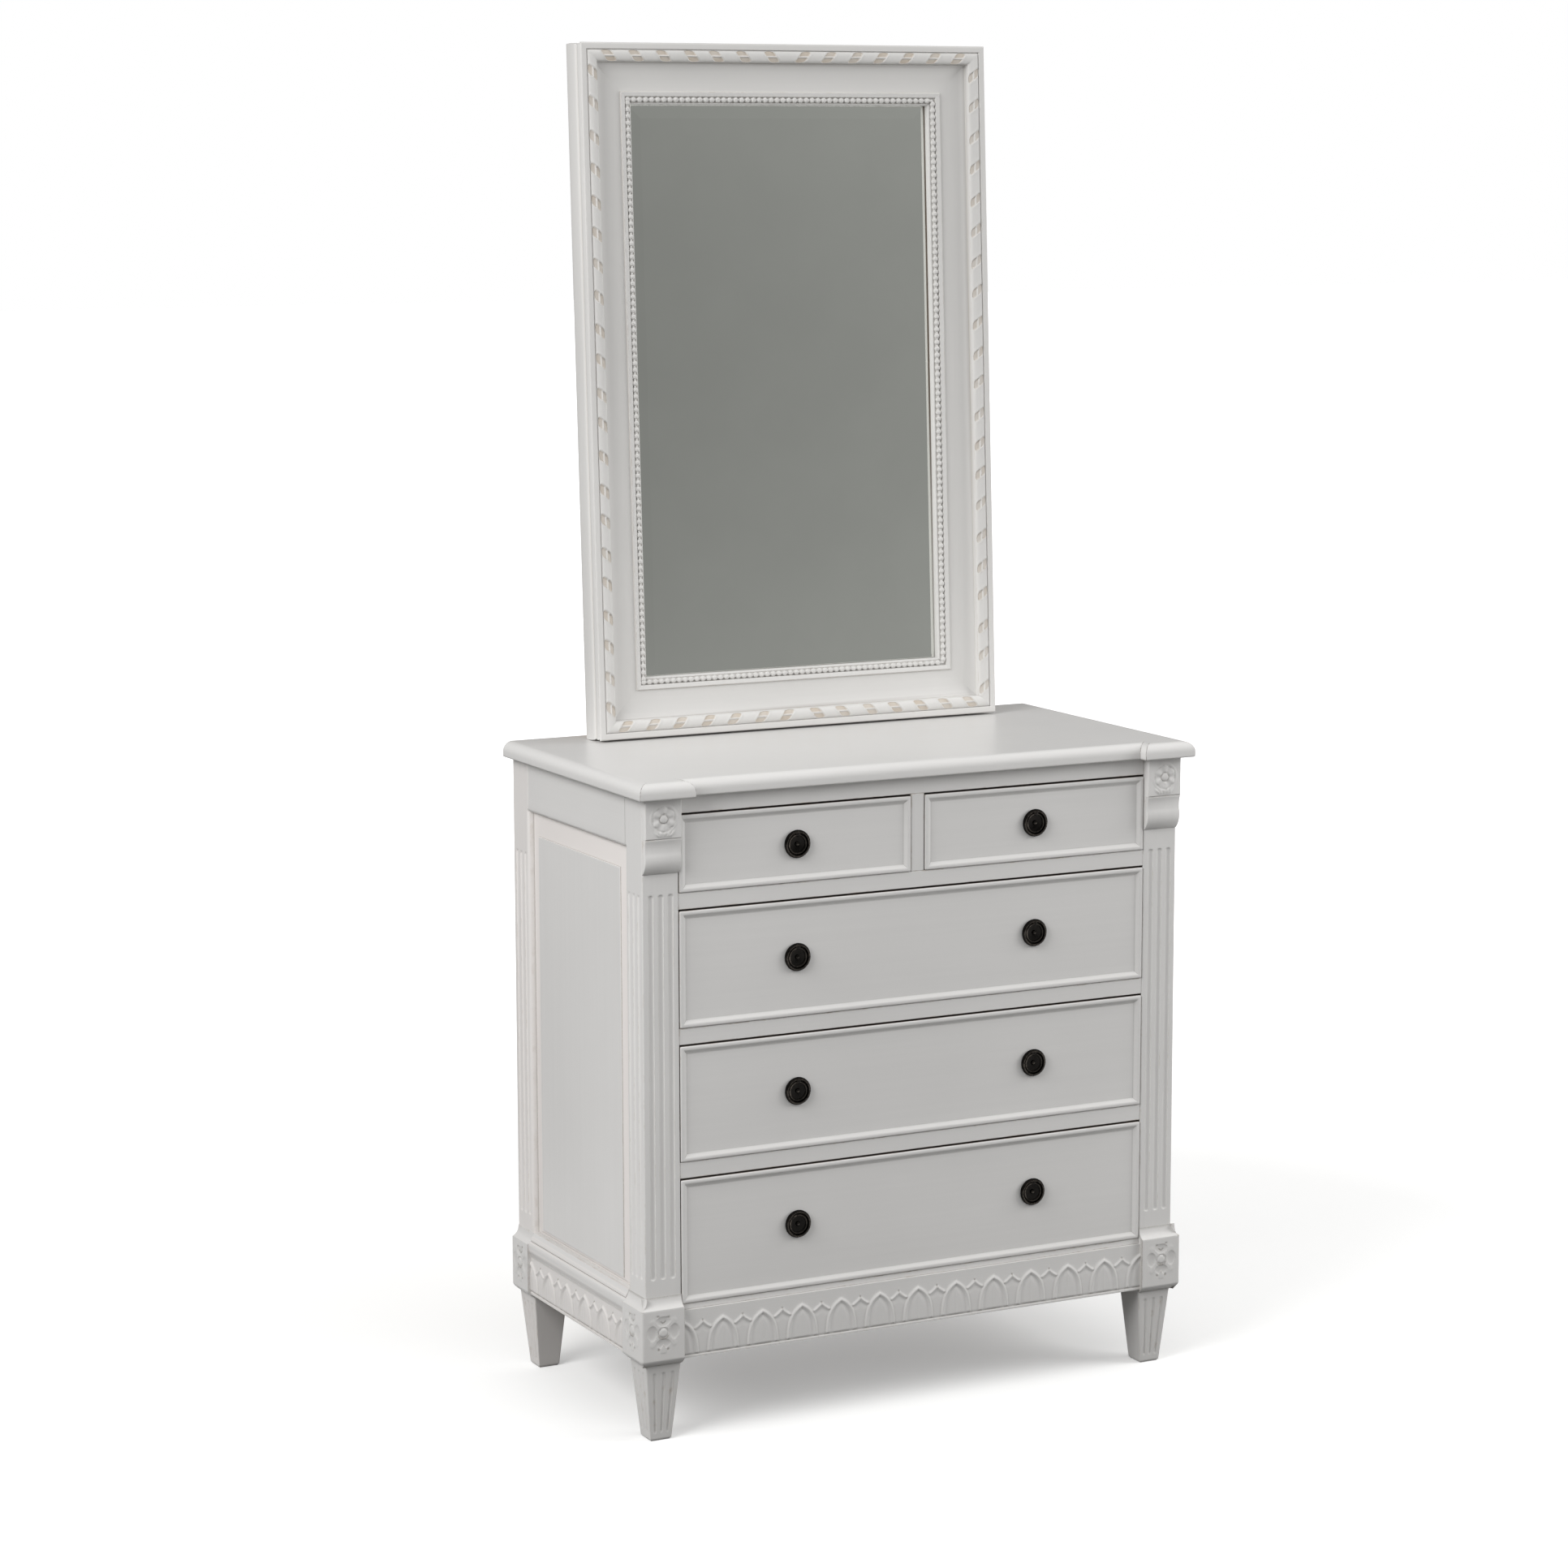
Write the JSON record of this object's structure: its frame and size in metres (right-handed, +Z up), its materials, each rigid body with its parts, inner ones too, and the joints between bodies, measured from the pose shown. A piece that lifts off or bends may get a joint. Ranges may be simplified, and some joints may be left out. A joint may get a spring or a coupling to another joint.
{
  "type": "dresser with mirror",
  "caption": "Painted wooden dresser on tapered fluted feet, with short and long drawers on round pulls and a tall framed mirror leaning back on its top.",
  "frame": {"origin": "the centre of the bounding box at floor level, under the feet", "axes": "+X to the right of someone facing the drawers, -Y out of the front, the way the drawers open, +Z up"},
  "size_m": [0.854, 0.4688, 1.8633],
  "materials": {
    "painted_wood": "satin paint, rubbed at the edges",
    "painted_frame": "satin paint with a brown glaze in the carving",
    "bare_wood": "planed, unpainted",
    "plywood": "matte",
    "bronze": "dark antique bronze, rubbed",
    "steel": "plain",
    "mirror_glass": "silvered, with a bevelled edge"
  },
  "bodies": {
    "cabinet": {"apron_front": "painted_wood", "back_panel": "plywood", "back_rails": "bare_wood", "backing_points": "steel", "base_blocks": "painted_wood", "bead_moulding": "painted_frame", "corbels": "painted_wood", "drawer_divider": "painted_wood", "drawer_rails": "painted_wood", "drawer_runners": "bare_wood", "drawer_stops": "bare_wood", "front_bottom_rail": "painted_wood", "front_top_rail": "painted_wood", "leg_front_left": "painted_wood", "leg_front_right": "painted_wood", "leg_rear_left": "painted_wood", "leg_rear_right": "painted_wood", "mirror_backing": "plywood", "mirror_battens": "bare_wood", "mirror_glass": "mirror_glass", "mirror_rails": "painted_frame", "mirror_stiles": "painted_frame", "ribbon_moulding": "painted_frame", "rosette_blocks": "painted_wood", "side_aprons": "painted_wood", "side_mouldings": "painted_wood", "side_panels": "painted_wood", "side_rails": "painted_wood", "top_board": "painted_wood", "wood_screws": "steel"},
    "lower_drawer": {"lower_drawer_back": "bare_wood", "lower_drawer_bottom": "plywood", "lower_drawer_front": "painted_wood", "lower_drawer_pull_screws": "steel", "lower_drawer_pulls": "bronze", "lower_drawer_sides": "bare_wood"},
    "middle_drawer": {"middle_drawer_back": "bare_wood", "middle_drawer_bottom": "plywood", "middle_drawer_front": "painted_wood", "middle_drawer_pull_screws": "steel", "middle_drawer_pulls": "bronze", "middle_drawer_sides": "bare_wood"},
    "upper_drawer": {"upper_drawer_back": "bare_wood", "upper_drawer_bottom": "plywood", "upper_drawer_front": "painted_wood", "upper_drawer_pull_screws": "steel", "upper_drawer_pulls": "bronze", "upper_drawer_sides": "bare_wood"},
    "top_left_drawer": {"top_left_drawer_back": "bare_wood", "top_left_drawer_bottom": "plywood", "top_left_drawer_front": "painted_wood", "top_left_drawer_pull_screws": "steel", "top_left_drawer_pulls": "bronze", "top_left_drawer_sides": "bare_wood"},
    "top_right_drawer": {"top_right_drawer_back": "bare_wood", "top_right_drawer_bottom": "plywood", "top_right_drawer_front": "painted_wood", "top_right_drawer_pull_screws": "steel", "top_right_drawer_pulls": "bronze", "top_right_drawer_sides": "bare_wood"}
  },
  "joints": [
    {"name": "lower_drawer_slide", "type": "slide", "parent": "cabinet", "child": "lower_drawer", "axis": [0, -1, 0], "range_m": [0, 0.3]},
    {"name": "middle_drawer_slide", "type": "slide", "parent": "cabinet", "child": "middle_drawer", "axis": [0, -1, 0], "range_m": [0, 0.3]},
    {"name": "upper_drawer_slide", "type": "slide", "parent": "cabinet", "child": "upper_drawer", "axis": [0, -1, 0], "range_m": [0, 0.3]},
    {"name": "top_left_drawer_slide", "type": "slide", "parent": "cabinet", "child": "top_left_drawer", "axis": [0, -1, 0], "range_m": [0, 0.3]},
    {"name": "top_right_drawer_slide", "type": "slide", "parent": "cabinet", "child": "top_right_drawer", "axis": [0, -1, 0], "range_m": [0, 0.3]}
  ]
}
